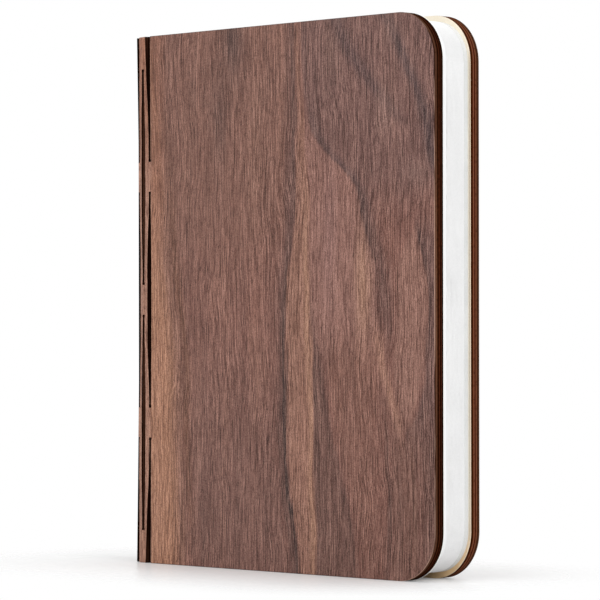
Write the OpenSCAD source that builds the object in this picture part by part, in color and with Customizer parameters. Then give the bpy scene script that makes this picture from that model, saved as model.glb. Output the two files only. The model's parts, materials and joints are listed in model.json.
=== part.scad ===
// A lamp in the form of a book. Two plywood covers hang on a spine of slit plywood, which
// bends at its slits. Between them an accordion of white sheet opens, round a light bar
// that stands inside the spine. Closed, it stands upright as a book, and opened all the
// way round it is a lantern.
//
// Frame: +Z is up, the closed book stands on z = 0. +X runs from the spine to the
// fore-edge, the front cover faces -Y and the back cover +Y. The origin is the centre of
// the closed book's footprint.

/* [Book] */
// Height of the covers, as the book stands
book_h = 215; // [150:1:260]
// Width of the closed book, from spine to fore-edge
book_w = 172.4; // [120:0.1:220]
// Thickness of the closed book over both covers
book_t = 25; // [24:0.5:32]
// Thickness of the plywood of covers and spine
board_t = 4.8; // [4:0.1:5]
// Radius of the covers' two fore-edge corners
corner_r = 18.5; // [8:0.5:30]
// Gap between the cover boards' spine edges and the linings
lining_back = 0.6; // [0.2:0.1:3]

/* [Spine slits] */
// Length of one slit
slit_len = 88.2; // [60:0.1:90]
// Length of the wood left between two slits of a column
bridge_len = 12.1; // [8:0.1:18]
// Half the thickness of a bridge where it bends
bridge_r = 0.4; // [0.25:0.05:0.4]
// Air left in a slit where its two strips lean together the most
slit_clear = 0.14; // [0.1:0.01:0.3]
// Degrees that a strip may lean past half of the largest bend
over_lean = 0.35; // [0.3:0.05:1]

/* [Pages] */
// Sheets that fold on one another, the two glued ones included
leaf_n = 28; // [20:4:28]
// Thickness of a sheet
leaf_t = 0.15; // [0.1:0.01:0.18]
// Thickness of the card that each outermost sheet is glued to
card_t = 2.4; // [1.5:0.1:2.6]
// Thickness of the cream lining paper on each cover
lining_t = 0.4; // [0.2:0.05:0.6]
// How far the pages and cards stay inside the covers' ends
page_inset = 2.5; // [1.5:0.1:5]
// How far the pages and cards stay inside the covers' fore-edges
fore_inset = 1; // [0.6:0.1:5]
// How far the cards reach past the sheets towards the spine
card_lap = 2.8; // [0:0.1:3]
// Air between the light bar and the sheets' inner folds
fold_clear = 3.5; // [2:0.1:8]

/* [Magnets] */
// Radius of a closing magnet
magnet_r = 4; // [2:0.25:6]
// Thickness of a closing magnet
magnet_t = 2; // [1:0.1:2.8]
// Distance of the magnets from the fore-edge
magnet_edge = 9; // [7:0.5:20]
// Distance of the magnets from the covers' ends
magnet_end = 42; // [25:1:80]
// Air round and under a magnet in its pocket
magnet_clear = 0.05; // [0.02:0.01:0.2]

/* [Light bar] */
// Air between the light bar and the closed spine
bar_clear = 1.1; // [0.8:0.1:2]
// How far the bar's ends stay inside the covers' ends
bar_inset = 3; // [2:0.5:10]
// Wall of the bar's channel, which faces the spine
channel_wall = 1.2; // [0.8:0.1:1.4]
// Wall of the bar's diffuser, which faces the pages
diffuser_wall = 1; // [0.6:0.1:1.4]
// Thickness of the tape that holds the bar to the spine
tape_t = 0.8; // [0.4:0.1:1.2]
// How far the tape's edges stay inside the edges of the spine's middle strip
tape_back = 0.175; // [0.1:0.005:0.4]
// Thickness of an end cap
cap_t = 2; // [1:0.1:3]
// Thickness of the circuit boards
pcb_t = 1; // [0.6:0.1:1.6]
// Air at the sides of the circuit boards and cells
pcb_clear = 0.15; // [0.05:0.05:0.3]
// Width of each ledge that the circuit boards lie on
ledge_w = 0.9; // [0.6:0.1:1.2]
// Thickness of each ledge that the circuit boards lie on
ledge_t = 0.8; // [0.5:0.1:1.2]
// Gap between the circuit boards' outer ends and the end caps
board_end = 0.3; // [0.1:0.1:1]
// Gap between the light board and the charging board
board_gap = 1; // [0.5:0.1:3]

/* [Light and power] */
// Number of light chips
led_n = 14; // [4:1:14]
// Distance of the two end chips from the light board's ends
led_end = 6; // [2:0.5:12]
// Length of a light chip along the bar
led_l = 3.5; // [2:0.1:5]
// Width of a light chip
led_w = 2.8; // [1.6:0.1:5]
// Height of a light chip
led_t = 0.8; // [0.4:0.1:1.6]
// Number of flat cells
cell_n = 3; // [1:1:3]
// Length of a cell
cell_l = 54; // [20:1:54]
// Thickness of a cell
cell_t = 3; // [1.5:0.1:3]
// Gap between one cell and the next
cell_gap = 1; // [0.5:0.5:4]
// Distance of the lowest cell from the light board's end
cell_end = 4; // [1:0.5:6]
// Gap between the cells and the back of the circuit boards
cell_back = 0.1; // [0.05:0.05:0.3]
// Radius of a cell lead
lead_r = 0.5; // [0.3:0.05:0.6]
// Distance of a cell lead from the mid-plane
lead_y = 1.5; // [1:0.1:1.8]
// How far the leads lie along the charging board
lead_lap = 3; // [1:0.5:5]
// Length of the charging board
charge_l = 20; // [14:1:24]
// Width of the charging socket
usb_w = 8.94; // [7:0.01:8.94]
// Height of the charging socket
usb_t = 3.16; // [2.4:0.01:3.16]
// Depth of the charging socket
usb_l = 7.4; // [6:0.1:9]
// Wall of the charging socket's shell
usb_wall = 0.3; // [0.2:0.05:0.4]
// Air round the charging socket in the cap and the board
usb_clear = 0.12; // [0.05:0.01:0.3]
// How far the charging socket's mouth lies inside the bar's end
usb_recess = 0.3; // [0.1:0.1:1]
// Thickness of the charging socket's tongue
tongue_t = 0.7; // [0.5:0.05:0.8]
// How far the tongue's tip lies inside the charging socket's mouth
tongue_back = 1; // [0.5:0.1:2]
// Width, height and length of the magnet switch
sensor = [1.8, 1.1, 3];
// Gap between the magnet switch and the lead beside it
sensor_gap = 0.3; // [0.1:0.1:0.5]
// Gap between the top cell and the magnet switch
sensor_up = 2; // [1:0.5:4]

/* [Hidden] */
// Turn at each slit between the spine's middle strip and a cover, in degrees. They add up to 90.
bends = [23, 24, 24, 13, 6];
stave_n = len(bends) - 1;

// The spine bends on the mid-surface of the plywood.
function turned(i) = i < 0 ? 0 : bends[i] + turned(i - 1);
function lean(i) = turned(i) - 90;
function total(list, i = 0) = i < len(list) ? list[i] + total(list, i + 1) : 0;
half_t = (book_t - board_t) / 2;
pitch = half_t / (0.5 - total([for (i = [0 : stave_n - 1]) sin(lean(i))]));
slit_w = board_t * tan(max(bends) / 2 + over_lean) + slit_clear;
strip_w = pitch - slit_w;
spine_x = -book_w / 2 + board_t / 2;
// A slit's line, counted from the middle strip towards the front cover
function hinge(i) = i == 0
    ? [spine_x, -pitch / 2]
    : hinge(i - 1) + pitch * [cos(lean(i - 1)), sin(lean(i - 1))];
cover_x = hinge(stave_n)[0] + slit_w / 2;
fore_x = book_w / 2;
// Inner faces, as distances from the mid-plane between the covers
board_y = book_t / 2 - board_t;
lining_y = board_y - lining_t;
card_y = lining_y - card_t;
// A slit runs out at the ends of every other column, and a bridge closes the ends of the rest.
slit_step = slit_len + bridge_len;
end_bridge = (book_h - bridge_len) / 2 - slit_len;

bar_r = board_y - bar_clear;
bar_x = spine_x + board_t / 2 + tape_t + bar_r;
bar_z = [bar_inset, book_h - bar_inset];
core_z = [bar_z[0] + cap_t, bar_z[1] - cap_t];
channel_r = bar_r - channel_wall;
tape_w = strip_w - 2 * tape_back;
leaf_x = [bar_x + bar_r + fold_clear, fore_x - fore_inset];
leaf_z = [page_inset, book_h - page_inset];
leaf_r = corner_r - page_inset;
leaf_pitch = (2 * card_y - leaf_t) / (leaf_n - 1);
function leaf_y(k) = -card_y + leaf_t / 2 + leaf_pitch * (k - 1);

pcb_w = 2 * (sqrt(channel_r * channel_r - pcb_t * pcb_t) - pcb_clear);
board_z = [core_z[0] + board_end, core_z[1] - board_end];
charge_z = [board_z[1] - charge_l, board_z[1]];
led_board_z = [board_z[0], charge_z[0] - board_gap];
led_z = [led_board_z[0] + led_end, led_board_z[1] - led_end];
cell_x = bar_x - pcb_t - cell_back - cell_t;
cell_w = 2 * (sqrt(pow(channel_r, 2) - pow(bar_x - cell_x, 2)) - pcb_clear);
cell_z = led_board_z[0] + cell_end;
cell_top = cell_z + cell_n * cell_l + (cell_n - 1) * cell_gap;
// Long cells reach behind the charging board, and the leads then start there.
lead_top = max(charge_z[0], cell_top) + lead_lap;
usb_x = bar_x - pcb_t / 2;
usb_z = [bar_z[1] - usb_recess - usb_l, bar_z[1] - usb_recess];

FRONT = 0;
BACK = 1;
// How far a solid reaches into the one that it joins, in the same piece
weld = 0.2;
// How far a cut reaches past the solid that it cuts
past = 1;
$fn = 96;

function two_digits(k) = str(k < 10 ? "0" : "", k);

// Sets its children, drawn for the front, on the side asked for.
module on_side(side) {
    mirror([0, side, 0]) children();
}

// Stands a flat outline, drawn as x and z, up as a plate between two values of y.
module plate(y0, y1) {
    translate([0, y1, 0]) rotate([90, 0, 0]) linear_extrude(y1 - y0) children();
}

// A box from its lowest to its highest corner
module block(low, high) {
    translate(low) cube(high - low);
}

// A rectangle of x and z with its two fore-edge corners round
module page_outline(x, z, r) {
    translate([x[0], z[0]]) square([x[1] - x[0] - r, z[1] - z[0]]);
    translate([x[1] - 2 * r, z[0] + r]) square([2 * r, z[1] - z[0] - 2 * r]);
    for (zc = [z[0] + r, z[1] - r]) translate([x[1] - r, zc]) circle(r);
}

// The same outline with its round corners as short straight steps
module stepped_outline(x, z, r, steps = 8) {
    low = [for (i = [0 : steps]) [x[1] - r + r * sin(90 * i / steps), z[0] + r - r * cos(90 * i / steps)]];
    high = [for (p = low) [p[0], z[0] + z[1] - p[1]]];
    turn = [for (i = [len(high) - 1 : -1 : 0]) high[i]];
    polygon(concat([[x[0], z[0]]], low, turn, [[x[0], z[1]]]));
}

function bridge_span(middle) = [middle - bridge_len / 2, middle + bridge_len / 2];
// Heights of the bridges in a column: an open column's slits run out at its ends.
function bridges(open) = open
    ? [for (s = [-1, 1]) bridge_span(book_h / 2 + s * slit_step / 2)]
    : [[0, end_bridge], bridge_span(book_h / 2), [book_h - end_bridge, book_h]];
// The columns alternate right round the spine.
function is_open(i, side) = (i + side) % 2 == 0;

// The bridges that a strip carries on its edge, drawn along +X from that edge. Each bends on
// the slit's line, where it ends round.
module bridge_webs(i, side) {
    for (z = bridges(is_open(i, side))) {
        translate([-weld, -bridge_r, z[0]]) cube([slit_w / 2 + weld, 2 * bridge_r, z[1] - z[0]]);
        translate([slit_w / 2, 0, z[0]]) cylinder(r = bridge_r, h = z[1] - z[0]);
    }
}

module spine_strip() {
    color("#8a6a55") {
        translate([spine_x - board_t / 2, -strip_w / 2, 0]) cube([board_t, strip_w, book_h]);
        for (side = [FRONT, BACK]) on_side(side)
            translate([spine_x, -strip_w / 2, 0]) rotate([0, 0, -90]) bridge_webs(0, side);
    }
}

// One strip of the spine, counted from the middle strip outwards
module stave(i, side) {
    at = hinge(i - 1);
    color("#8a6a55") on_side(side) translate([at[0], at[1], 0]) rotate([0, 0, lean(i - 1)]) {
        translate([slit_w / 2, -board_t / 2, 0]) cube([strip_w, board_t, book_h]);
        translate([pitch - slit_w / 2, 0, 0]) bridge_webs(i, side);
    }
}

module magnet_places() {
    for (z = [magnet_end, book_h - magnet_end]) translate([fore_x - magnet_edge, -board_y, z])
        rotate([90, 0, 0]) children();
}

module cover(side) {
    color("#8c695c") on_side(side) difference() {
        plate(-book_t / 2, -board_y) page_outline([cover_x, fore_x], [0, book_h], corner_r);
        magnet_places() translate([0, 0, -past])
            cylinder(r = magnet_r + magnet_clear, h = magnet_t + magnet_clear + past);
    }
}

module magnets(side) {
    color("silver") on_side(side) magnet_places() cylinder(r = magnet_r, h = magnet_t);
}

module lining(side) {
    color("#f0d7be") on_side(side)
        plate(-board_y, -lining_y) page_outline([cover_x + lining_back, fore_x], [0, book_h], corner_r);
}

module card(side) {
    color("#dcdcdc") on_side(side)
        plate(-lining_y, -card_y) page_outline([leaf_x[0] - card_lap, leaf_x[1]], leaf_z, leaf_r);
}

// One sheet of the accordion, counted from the front cover
module leaf(k) {
    color("#f2f2f2") plate(leaf_y(k) - leaf_t / 2, leaf_y(k) + leaf_t / 2)
        stepped_outline(leaf_x, leaf_z, leaf_r);
}

module bar_tape() {
    color("#e6e6e0")
        block([bar_x - bar_r - tape_t, -tape_w / 2, bar_z[0]], [bar_x - bar_r, tape_w / 2, bar_z[1]]);
}

// Half of a disc, on the spine's side of the bar or on the pages' side
module half_disc(r, to_pages) {
    intersection() {
        circle(r);
        translate([to_pages ? 0 : -2 * r, -2 * r]) square([2 * r, 4 * r]);
    }
}

module light_channel() {
    ledge_y = sqrt(pow(channel_r, 2) - pow(pcb_t + ledge_t, 2)) - ledge_w;
    color("#d8d8d4") difference() {
        translate([bar_x, 0, core_z[0]]) linear_extrude(core_z[1] - core_z[0]) {
            difference() {
                half_disc(bar_r, false);
                half_disc(channel_r, false);
            }
            difference() {
                intersection() {
                    translate([-pcb_t - ledge_t, -bar_r]) square([ledge_t, 2 * bar_r]);
                    circle(channel_r + channel_wall / 2);
                }
                square([2 * bar_r, 2 * ledge_y], center = true);
            }
            translate([-bar_r, -tape_w / 2]) square([channel_wall / 2, tape_w]);
        }
        translate([usb_x, 0, usb_z[0] - usb_clear]) socket_room(usb_l + usb_clear + past);
    }
}

module light_diffuser() {
    color("#fbf7ee") translate([bar_x, 0, core_z[0]]) linear_extrude(core_z[1] - core_z[0])
        difference() {
            half_disc(bar_r, true);
            half_disc(bar_r - diffuser_wall, true);
        }
}

module led_board() {
    color("#f4f4f4")
        block([bar_x - pcb_t, -pcb_w / 2, led_board_z[0]], [bar_x, pcb_w / 2, led_board_z[1]]);
}

module led_chips() {
    step = led_n > 1 ? (led_z[1] - led_z[0] - led_l) / (led_n - 1) : 0;
    color("#ffe08a") for (i = [0 : led_n - 1])
        translate([bar_x, -led_w / 2, led_z[0] + i * step]) cube([led_t, led_w, led_l]);
}

module battery_cells() {
    color("#8f9aa3") for (i = [0 : cell_n - 1])
        translate([cell_x, -cell_w / 2, cell_z + i * (cell_l + cell_gap)])
            cube([cell_t, cell_w, cell_l]);
}

// Two leads from the top cell to the back of the charging board
module battery_leads() {
    color("#b03030") for (s = [-1, 1])
        translate([bar_x - pcb_t - cell_back - lead_r, s * lead_y, cell_top])
            cylinder(r = lead_r, h = lead_top - cell_top);
}

module charge_board() {
    notch = [usb_w + 2 * usb_clear, charge_z[1] - usb_z[0] + usb_clear];
    color("#2f6b46") difference() {
        block([bar_x - pcb_t, -pcb_w / 2, charge_z[0]], [bar_x, pcb_w / 2, charge_z[1]]);
        translate([bar_x - pcb_t - past, -notch[0] / 2, charge_z[1] - notch[1]])
            cube([pcb_t + 2 * past, notch[0], notch[1] + past]);
    }
}

// A rounded slot of the charging socket's form, standing along +Z
module usb_slot(w, t, h) {
    linear_extrude(h) {
        square([t, w - t], center = true);
        for (s = [-1, 1]) translate([0, s * (w - t) / 2]) circle(t / 2);
    }
}

// The room that the charging socket takes, with air all round it
module socket_room(h) {
    usb_slot(usb_w + 2 * usb_clear, usb_t + 2 * usb_clear, h);
}

module usb_socket() {
    color("#b8bcc0") translate([usb_x, 0, usb_z[0]]) {
        difference() {
            usb_slot(usb_w, usb_t, usb_l);
            translate([0, 0, usb_wall]) usb_slot(usb_w - 2 * usb_wall, usb_t - 2 * usb_wall, usb_l);
        }
        translate([-tongue_t / 2, -(usb_w - usb_t) / 2, 0])
            cube([tongue_t, usb_w - usb_t, usb_l - tongue_back]);
    }
}

module magnet_switch() {
    color("#222222")
        translate([bar_x - pcb_t - sensor[1], lead_y + lead_r + sensor_gap, cell_top + sensor_up])
            cube([sensor[1], sensor[0], sensor[2]]);
}

module end_cap() {
    linear_extrude(cap_t) {
        circle(bar_r);
        translate([-bar_r, -tape_w / 2]) square([channel_wall / 2, tape_w]);
    }
}

module top_cap() {
    color("#d8d8d4") difference() {
        translate([bar_x, 0, core_z[1]]) end_cap();
        translate([usb_x, 0, core_z[1] - past]) socket_room(cap_t + 2 * past);
    }
}

module bottom_cap() {
    color("#d8d8d4") translate([bar_x, 0, bar_z[0]]) end_cap();
}

spine_strip();
cover(FRONT);  // front_cover
cover(BACK);  // back_cover
for (i = [1 : stave_n]) {
    stave(i, FRONT);
    stave(i, BACK);
}
lining(FRONT);  // front_lining
lining(BACK);  // back_lining
card(FRONT);  // front_card
card(BACK);  // back_card
magnets(FRONT);  // front_magnets
magnets(BACK);  // back_magnets
for (k = [1 : leaf_n]) leaf(k);
bar_tape();
light_channel();
light_diffuser();
led_board();
led_chips();
battery_cells();
battery_leads();
charge_board();
usb_socket();
magnet_switch();
top_cap();
bottom_cap();
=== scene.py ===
import json
import math

import bpy
import numpy as np
from mathutils import Matrix, Vector
from mathutils.geometry import delaunay_2d_cdt


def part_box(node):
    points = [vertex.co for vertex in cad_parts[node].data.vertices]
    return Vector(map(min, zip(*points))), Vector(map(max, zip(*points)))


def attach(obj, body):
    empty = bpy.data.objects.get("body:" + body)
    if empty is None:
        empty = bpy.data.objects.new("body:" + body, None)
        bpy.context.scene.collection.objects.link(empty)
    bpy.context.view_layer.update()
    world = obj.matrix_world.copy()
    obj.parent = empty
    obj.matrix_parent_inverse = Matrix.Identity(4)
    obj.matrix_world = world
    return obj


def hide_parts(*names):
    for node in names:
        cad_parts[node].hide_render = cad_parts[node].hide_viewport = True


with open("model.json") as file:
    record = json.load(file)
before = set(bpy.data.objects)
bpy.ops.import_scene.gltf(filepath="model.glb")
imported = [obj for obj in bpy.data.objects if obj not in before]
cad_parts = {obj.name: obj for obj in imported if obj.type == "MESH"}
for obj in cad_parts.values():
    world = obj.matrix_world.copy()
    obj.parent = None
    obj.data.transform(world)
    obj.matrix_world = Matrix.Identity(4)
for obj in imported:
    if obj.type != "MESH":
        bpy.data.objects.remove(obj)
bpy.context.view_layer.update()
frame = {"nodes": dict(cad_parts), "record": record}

# Lengths are in millimetres and become metres where a mesh is made.
MM = 0.001
BOOK_H, BOOK_W, BOOK_T, BOARD_T = 215.0, 172.4, 25.0, 4.8
CORNER_R = 18.5
SLIT_LEN, BRIDGE_LEN = 88.2, 12.1
PAGE_INSET, FORE_INSET = 2.5, 1.0
LINING_T = 0.4
MAGNET_R, MAGNET_T, MAGNET_EDGE, MAGNET_END = 4.05, 2.05, 9.0, 42.0
HALF_BOARD = BOARD_T / 2
FORE_X = BOOK_W / 2
FRONT, BACK = 0, 1
SIDES = ((FRONT, "front"), (BACK, "back"))

# The spine's section, with the same formulas as the solids. Each side has five slits, which bend
# by BENDS, and four strips between them, which lean by LEANS.
BENDS = (23, 24, 24, 13, 6)
LEANS = [sum(BENDS[: i + 1]) - 90 for i in range(4)]
PITCH = (BOOK_T - BOARD_T) / 2 / (0.5 - sum(math.sin(math.radians(a)) for a in LEANS))
SPARE_BEND, SPARE_W = 0.35, 0.14
SLIT_W = BOARD_T * math.tan(math.radians(max(BENDS) / 2 + SPARE_BEND)) + SPARE_W
SPINE_X = -FORE_X + HALF_BOARD
HINGES = [(SPINE_X, -PITCH / 2)]
for lean in map(math.radians, LEANS):
    hinge_x, hinge_y = HINGES[-1]
    HINGES.append((hinge_x + PITCH * math.cos(lean), hinge_y + PITCH * math.sin(lean)))
COVER_X = HINGES[4][0]  # the slit beside the cover
SHEET_START = COVER_X - 4 * PITCH  # the first slit's place on the unrolled board
SHEET_MID = SHEET_START - PITCH / 2  # the middle strip's middle there

# Half of a slit's width at the outer face, on the low strip's side and on the high strip's side:
# beside a bridge, midway, and at an open end
SLIT_HALF = (
    ((0.56, 0.62, 0.74), (0.56, 0.62, 0.74)),
    ((0.56, 0.62, 0.70), (0.56, 0.62, 0.70)),
    ((0.50, 0.60, 0.70), (0.56, 1.50, 1.60)),
    ((0.34, 1.25, 1.30), (0.42, 0.95, 1.00)),
    ((0.24, 1.45, 2.60), (0.40, 0.75, 0.15)),
)
MID_REACH, END_REACH = 30, 55  # how far from a bridge a slit has its width midway or at its end
DROP_LEN, DROP_W = 1.1, 0.2  # the drop at a slit's closed end: its length and how far it widens
TAPER = 1.6  # a slit has its inner width from 1 / TAPER of the board's thickness on

# The strips' free ends bend outward: how far, over what height, and with what power
FOOT_BEND = (1.1, 75, 1.2)
TOP_BEND = (0.75, 44, 1.1)
FLARE = (0.0, 0.0, 1.0, 0.38, 0.0)  # the share of that bend at each slit

# Sections of a strip: their number, those beside a bridge, and the least step
SECTIONS = 44
BRIDGE_STEPS = (0.12, 0.3, 0.55, 0.8, 1.0, 1.2, 2.5, 5.0, 9.0, 15.0)
BRIDGE_EDGE, LEAST_STEP = 0.01, 0.015
STRIP_GAP, COVER_GAP = 0.1, 0.3  # no section this near an end

# A strip's edges have a bevel. In a bridge its edge is a half round instead.
BEVEL = 0.1
ARC_N, ARC_R = 16, HALF_BOARD - 0.015
FLAT_LEVELS = (-HALF_BOARD, -HALF_BOARD + BEVEL, -1.2, 0.0, 1.2, HALF_BOARD - BEVEL, HALF_BOARD)
END_ALONG, END_ACROSS, END_LIFT = 0.95, 0.965, 0.05  # how the ends draw in

# A cover's sections from its outer to its inner face, as inset and depth
ARRIS, ARRIS_MID = 0.12, 0.035
COVER_LEVELS = (
    (ARRIS, 0.0), (ARRIS_MID, ARRIS_MID), (0.0, ARRIS), (0.0, 1.2), (0.0, 2.4), (0.0, 3.6),
    (0.0, BOARD_T - ARRIS), (ARRIS_MID, BOARD_T - ARRIS_MID), (ARRIS, BOARD_T),
)
BASE_LEVEL = 3  # the section that lengths along the edge are measured on
CORNER_STEPS, FORE_STEPS, POCKET_STEPS = 26, 8, 32
POCKET_LAYERS = (3.0, 4.0)  # the pockets take the colour of these depths

# The sheets lie between the cards. A sheet is thicker here than in the solids, so that the stack
# looks closed.
LEAF_N = 28
LEAF_T, LEAF_HALF = 0.15, 0.14
CARD_Y = 4.9
LEAF_X = (-63.9, FORE_X - FORE_INSET)
LEAF_Z = (PAGE_INSET, BOOK_H - PAGE_INSET)
LEAF_R = CORNER_R - PAGE_INSET
LEAF_PITCH = (2 * CARD_Y - LEAF_T) / (LEAF_N - 1)
EDGE_STEPS, ROUND_STEPS = 8, 16
OUTER_FOLD = (0.8, 10, 0.26)  # a fold's distance from the ends of its edge, steps, and nose
INNER_FOLD = (0.3, 12, 0.1)
TIP_FROM = 0.8  # from this share of the thickness on, an edge comes round to the fold's line
CUT_BEVEL, CUT_ROUND = 0.035, 0.6
RIM_AT_FOLD, RIM_AWAY = 0.5, 0.02  # how far a face's rim lies inside a folded edge
# Rings across a sheet's thickness: -1 or 1 for the rim of a face, and the share of the thickness
LEAF_RINGS = ((-1, 0.0), (0, 0.0), (0, 0.12), (0, 0.35), (0, 0.65), (0, 0.88), (0, 1.0), (1, 1.0))
LEAF_SHARP = 50


# ---------------------------------------------------------------- meshes
def smooth(t):
    """0 to 1 with a soft start and end"""
    t = min(1.0, max(0.0, t))
    return t * t * (3 - 2 * t)


def round_pairs(n):
    """The two points of each step round a closed ring of n points"""
    return [(k, (k + 1) % n) for k in range(n)]


def run_round(points):
    """The length along a closed line up to each of its points, and to its first one again"""
    run = [0.0]
    for p, q in zip(points, points[1:] + points[:1]):
        run.append(run[-1] + math.dist(p[:2], q[:2]))
    return run


def on_sheet(side, u):
    """A place across the unrolled board, mirrored for the back"""
    return u if side == FRONT else 2 * SHEET_MID - u


class Shape:
    """Collects vertices and faces in millimetres, with two UV maps: sheet is the place on the
    unrolled board, and layers the place along an edge and the depth below the outer face."""

    def __init__(self):
        self.verts, self.faces, self.sheet, self.layers = [], [], [], []

    def ring(self, points):
        """Adds points and gives their numbers"""
        start = len(self.verts)
        self.verts += [tuple(p) for p in points]
        return list(range(start, len(self.verts)))

    def face(self, corners, sheet, layers):
        self.faces.append(corners)
        self.sheet.append(sheet)
        self.layers.append(layers)

    @staticmethod
    def is_edge(layers):
        """0 for a face in the board's outer or inner surface, 1 for one between them"""
        depths = {round(d, 3) for _, d in layers}
        return int(depths not in ({0.0}, {BOARD_T}))

    def make(self, name, materials, flip=False, sharp=28):
        """The object. flip turns its faces over, and sharp is the angle of a hard edge."""
        mesh = bpy.data.meshes.new(name)
        way = -1 if flip else 1
        mesh.from_pydata([Vector(v) * MM for v in self.verts], [], [f[::way] for f in self.faces])
        for title, data in (("sheet", self.sheet), ("layers", self.layers)):
            layer = mesh.uv_layers.new(name=title)
            layer.data.foreach_set("uv", [c * MM for f in data for uv in f[::way] for c in uv])
        for material in materials:
            mesh.materials.append(material)
        if len(materials) > 1:
            mesh.polygons.foreach_set("material_index", [self.is_edge(f) for f in self.layers])
        mesh.polygons.foreach_set("use_smooth", [True] * len(self.faces))
        mesh.update()
        mesh.set_sharp_from_angle(angle=math.radians(sharp))
        mesh.validate()
        obj = bpy.data.objects.new(name, mesh)
        bpy.context.scene.collection.objects.link(obj)
        return obj


def slit_bridges(i, side):
    """The low and high end of each bridge in slit i. The slits are open and closed at their ends
    in turn."""
    mid, step, end = BOOK_H / 2, SLIT_LEN + BRIDGE_LEN, (BOOK_H - BRIDGE_LEN) / 2 - SLIT_LEN

    def span(z):
        return (z - BRIDGE_LEN / 2, z + BRIDGE_LEN / 2)

    if (i + side) % 2 == 0:
        return [span(mid - step / 2), span(mid + step / 2)]
    return [(0.0, end), span(mid), (BOOK_H - end, BOOK_H)]


def in_bridge(i, side, z):
    return any(low <= z <= high for low, high in slit_bridges(i, side))


def flare(z):
    """The outward bend of the spine's free ends, which is larger at the foot"""
    ends = ((z, FOOT_BEND), (BOOK_H - z, TOP_BEND))
    return sum(far * max(0.0, 1 - gap / reach) ** power for gap, (far, reach, power) in ends)


def slit_half(i, side, z, low):
    """Half of slit i's width at the outer face, on the low or the high strip's side"""
    near, mid, end = SLIT_HALF[i][0 if low else 1]
    if in_bridge(i, side, z):
        return near
    spans = slit_bridges(i, side)
    gap = min(min(abs(z - lo), abs(z - hi)) for lo, hi in spans)
    if z < spans[0][0] or z > spans[-1][1]:
        half = near + (end - near) * smooth(gap / END_REACH)
    else:
        half = near + (mid - near) * smooth(gap / MID_REACH)
    if gap < DROP_LEN:
        off = (gap - DROP_LEN / 2) / (DROP_LEN / 2)
        half += DROP_W * math.sqrt(max(0.0, 1 - off**2))
    return half


def wall(i, side, z, b, low=False):
    """Half of the slit's width at the distance b from the board's middle; -b is outside."""
    outer = slit_half(i, side, z, low)
    t = min(1.0, (b + HALF_BOARD) / BOARD_T * TAPER)
    return outer + (SLIT_W / 2 - outer) * t


def heights(slits, end_gap):
    """Heights at which a piece beside these slits needs a section"""
    zs = set(np.round(np.linspace(0, BOOK_H, SECTIONS), 3))
    for i, side in slits:
        for low, high in slit_bridges(i, side):
            for edge, way in ((low, -1), (high, 1)):
                beside = [edge + way * s for s in BRIDGE_STEPS]
                zs |= {round(z, 3) for z in beside if 0 < z < BOOK_H}
                zs |= {round(edge - BRIDGE_EDGE, 3), round(edge + BRIDGE_EDGE, 3)}
    out = []
    for z in sorted(z for z in zs if 0 <= z <= BOOK_H):
        if not out or z - out[-1] > LEAST_STEP:
            out.append(z)
    return [z for z in out if end_gap < z < BOOK_H - end_gap]


def round_end(i, side, z, at, way):
    """A section's end at slit i for the strip that has the bridges, from outside to inside: the
    place along and across the section, the place on the sheet, and the depth"""
    bridge = in_bridge(i, side, z)
    points = []
    for k in range(ARC_N + 1):
        turn = math.pi * k / ARC_N
        if bridge:
            a, b = ARC_R * math.sin(turn), -ARC_R * math.cos(turn)
            u = ARC_R * min(turn, math.pi - turn)
            points.append((at + way * a, b, at + way * u, 0.0 if k < ARC_N / 2 else BOARD_T))
            continue
        b = -HALF_BOARD * math.cos(turn)
        a = -wall(i, side, z, b, way > 0)
        if k in (0, ARC_N):
            a -= BEVEL
        if k in (1, ARC_N - 1):
            b = math.copysign(HALF_BOARD - BEVEL, b)
        points.append((at + way * a, b, at + way * a, b + HALF_BOARD))
    return points


def flat_end(i, side, z, at, way):
    """The same for the strip beside them"""
    points = []
    for b in FLAT_LEVELS:
        a = -wall(i, side, z, b, way > 0) - (BEVEL if abs(b) == HALF_BOARD else 0)
        points.append((at + way * a, b, at + way * a, b + HALF_BOARD))
    return points


def make_strip(name, place, low, high, side, start):
    """A strip of the spine. place sets a section's point, low and high are (slit, side, whether
    the strip has its bridges), and start is the low slit's place on the unrolled board."""
    shape = Shape()
    rings, caps = [], []
    zs = {0.0, ARRIS, BOOK_H - ARRIS, BOOK_H}.union(heights((low[:2], high[:2]), STRIP_GAP))
    for z in sorted(zs):
        first = (round_end if low[2] else flat_end)(*low[:2], z, 0.0, -1)
        last = (round_end if high[2] else flat_end)(*high[:2], z, PITCH, 1)
        section = first[::-1] + last  # from inside round the low end, then the high end
        points = []
        for a, b, _, _ in section:
            lift = 0.0
            if z in (0.0, BOOK_H):
                if a < 0 or a > PITCH:
                    lift = END_LIFT if z == 0 else -END_LIFT
                a = PITCH / 2 + (a - PITCH / 2) * END_ALONG
                b *= END_ACROSS
            points.append(place(a, b, z + lift))
        ids = shape.ring(points)
        sheet = [(on_sheet(side, start + u), z) for _, _, u, _ in section]
        rings.append((ids, sheet, [(z, depth) for _, _, _, depth in section]))
        caps.append((ids, sheet, [(a, b + HALF_BOARD) for a, b, _, _ in section]))
    for below, above in zip(rings, rings[1:]):
        for k, j in round_pairs(len(below[0])):
            shape.face(*([lo[k], lo[j], hi[j], hi[k]] for lo, hi in zip(below, above)))
    shape.face(*(data[::-1] for data in caps[0]))
    shape.face(*caps[-1])
    return shape.make(name, BOARD, flip=side == FRONT)


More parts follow.
